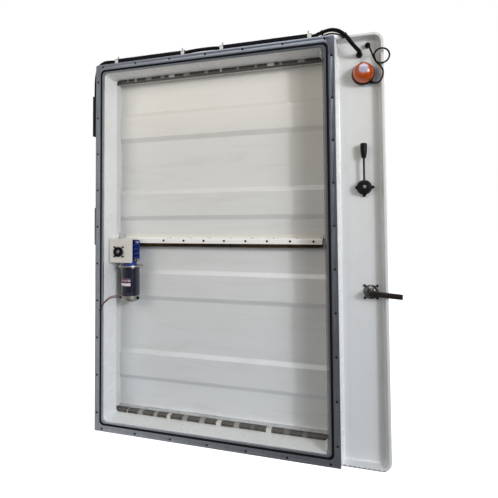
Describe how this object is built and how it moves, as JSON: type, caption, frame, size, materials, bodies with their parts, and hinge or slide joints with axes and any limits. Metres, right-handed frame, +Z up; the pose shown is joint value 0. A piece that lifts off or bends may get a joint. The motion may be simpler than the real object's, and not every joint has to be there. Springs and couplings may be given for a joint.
{
  "type": "automatic coop door",
  "caption": "Powered sliding coop door: bolt-on flanged frame with white reveal, ribbed leaf on telescopic rails, rack-and-pinion gearmotor drive and side control panel.",
  "frame": {"origin": "on the vertical centre line of the doorway, on the underside of the mounting flange, midway through the flange's thickness", "axes": "+Z up, -Y out of the flange's front face towards the viewer, +Y towards the leaf, +X towards the control panel; the leaf opens towards -X"},
  "size_m": [1.4044, 0.202, 1.7861],
  "materials": {
    "flange_grey": "satin grey coating, slightly metallic",
    "black_rubber": "matte",
    "pale_rubber": "matte pale",
    "gloss_white": "smooth powder coat, semi-gloss",
    "leaf_white": "smooth powder coat, satin",
    "rail_dark": "dull dark coating",
    "zinc": "zinc plated, satin",
    "rack_steel": "oiled dark steel",
    "gearbox_blue": "semi-gloss paint",
    "motor_black": "gloss paint",
    "cast_aluminium": "as cast, satin",
    "chrome": "polished",
    "black_steel": "black coating, satin",
    "black_plastic": "smooth moulded",
    "amber_lens": "clear coloured, gloss",
    "bronze": "machined",
    "wire_red": "flexible insulation",
    "pale_plate": "pale moulded"
  },
  "bodies": {
    "frame": {"mounting_flange": "flange_grey", "flange_gasket": "black_rubber", "reveal_liner": "gloss_white", "panel_tray": "gloss_white", "bottom_fixed_rail": "rail_dark", "top_fixed_rail": "rail_dark", "seal_left": "pale_rubber", "seal_right": "pale_rubber", "drive_bracket": "gloss_white", "bearing_housing": "black_steel", "bearing_bolt_plate": "black_steel", "gearbox_housing": "gearbox_blue", "gearbox_cover": "gearbox_blue", "motor_adapter_flange": "cast_aluminium", "motor_can": "motor_black", "motor_end_cap": "cast_aluminium", "brush_cap": "black_plastic", "lead_red": "wire_red", "lead_black": "black_rubber", "cable_conduit": "black_rubber", "top_cover_left": "zinc", "top_cover_right": "zinc", "side_cover_upper": "zinc", "side_cover_lower": "zinc", "cable_gland_1": "black_plastic", "cable_gland_2": "black_plastic", "beacon_plate": "pale_plate", "beacon_base": "black_plastic", "beacon_lens": "amber_lens", "beacon_lamp": "chrome", "beacon_cable": "black_rubber", "lever_base": "black_plastic", "switch_body": "black_plastic", "control_enclosure": "gloss_white", "handle_rose": "chrome", "handle_bolt_plate": "zinc", "spindle_bush": "bronze"},
    "leaf": {"leaf_panel": "leaf_white", "leaf_rear_frame": "zinc", "rack_carrier": "gloss_white", "rack": "rack_steel", "rack_end_cap": "black_plastic", "keeper_bracket": "zinc", "top_inner_rail": "zinc", "bottom_inner_rail": "zinc"},
    "top_mid": {"top_mid_rail": "zinc"},
    "bottom_mid": {"bottom_mid_rail": "zinc"},
    "drive_shaft": {"output_shaft": "zinc", "pinion": "rack_steel", "worm_wheel": "bronze"},
    "worm_shaft": {"worm": "rack_steel", "motor_rotor": "rack_steel"},
    "control_lever": {"lever_hub": "black_plastic", "lever_spindle": "zinc", "lever_rod": "black_steel", "lever_grip": "black_plastic"},
    "release_handle": {"handle_spindle": "zinc", "handle_bar": "black_steel", "latch_arm": "zinc"},
    "reflector": {"beacon_reflector": "chrome"}
  },
  "joints": [
    {"name": "leaf_slide", "type": "slide", "parent": "frame", "child": "leaf", "axis": [-1, 0, 0], "range_m": [0, 0.9]},
    {"name": "top_rail_slide", "type": "slide", "parent": "frame", "child": "top_mid", "axis": [-1, 0, 0], "range_m": [0, 0.4501]},
    {"name": "bottom_rail_slide", "type": "slide", "parent": "frame", "child": "bottom_mid", "axis": [-1, 0, 0], "range_m": [0, 0.4501]},
    {"name": "pinion_spin", "type": "hinge", "parent": "frame", "child": "drive_shaft", "pos_m": [-0.46, 0.124, 0.839], "axis": [0, -1, 0], "range_deg": [0, 2243]},
    {"name": "worm_spin", "type": "hinge", "parent": "frame", "child": "worm_shaft", "pos_m": [-0.42, 0.075, 0.839], "axis": [0, 0, -1], "range_deg": [0, 31390]},
    {"name": "control_lever_swing", "type": "hinge", "parent": "frame", "child": "control_lever", "pos_m": [0.672, 0.03, 1.117], "axis": [0, 1, 0], "range_deg": [-15, 15], "stiffness_Nm_per_rad": 0.5},
    {"name": "release_handle_turn", "type": "hinge", "parent": "frame", "child": "release_handle", "pos_m": [0.691, 0.006, 0.692], "axis": [0, 1, 0], "range_deg": [0, 88]},
    {"name": "reflector_spin", "type": "hinge", "parent": "frame", "child": "reflector", "pos_m": [0.676, 0.026, 1.584], "axis": [0, 1, 0], "continuous": true}
  ],
  "couplings": [
    {"joint": "top_rail_slide", "follows": "leaf_slide", "ratio": 0.5},
    {"joint": "bottom_rail_slide", "follows": "leaf_slide", "ratio": 0.5},
    {"joint": "pinion_spin", "follows": "leaf_slide", "rad_per_m": 43.478},
    {"joint": "worm_spin", "follows": "leaf_slide", "rad_per_m": 608.7}
  ]
}
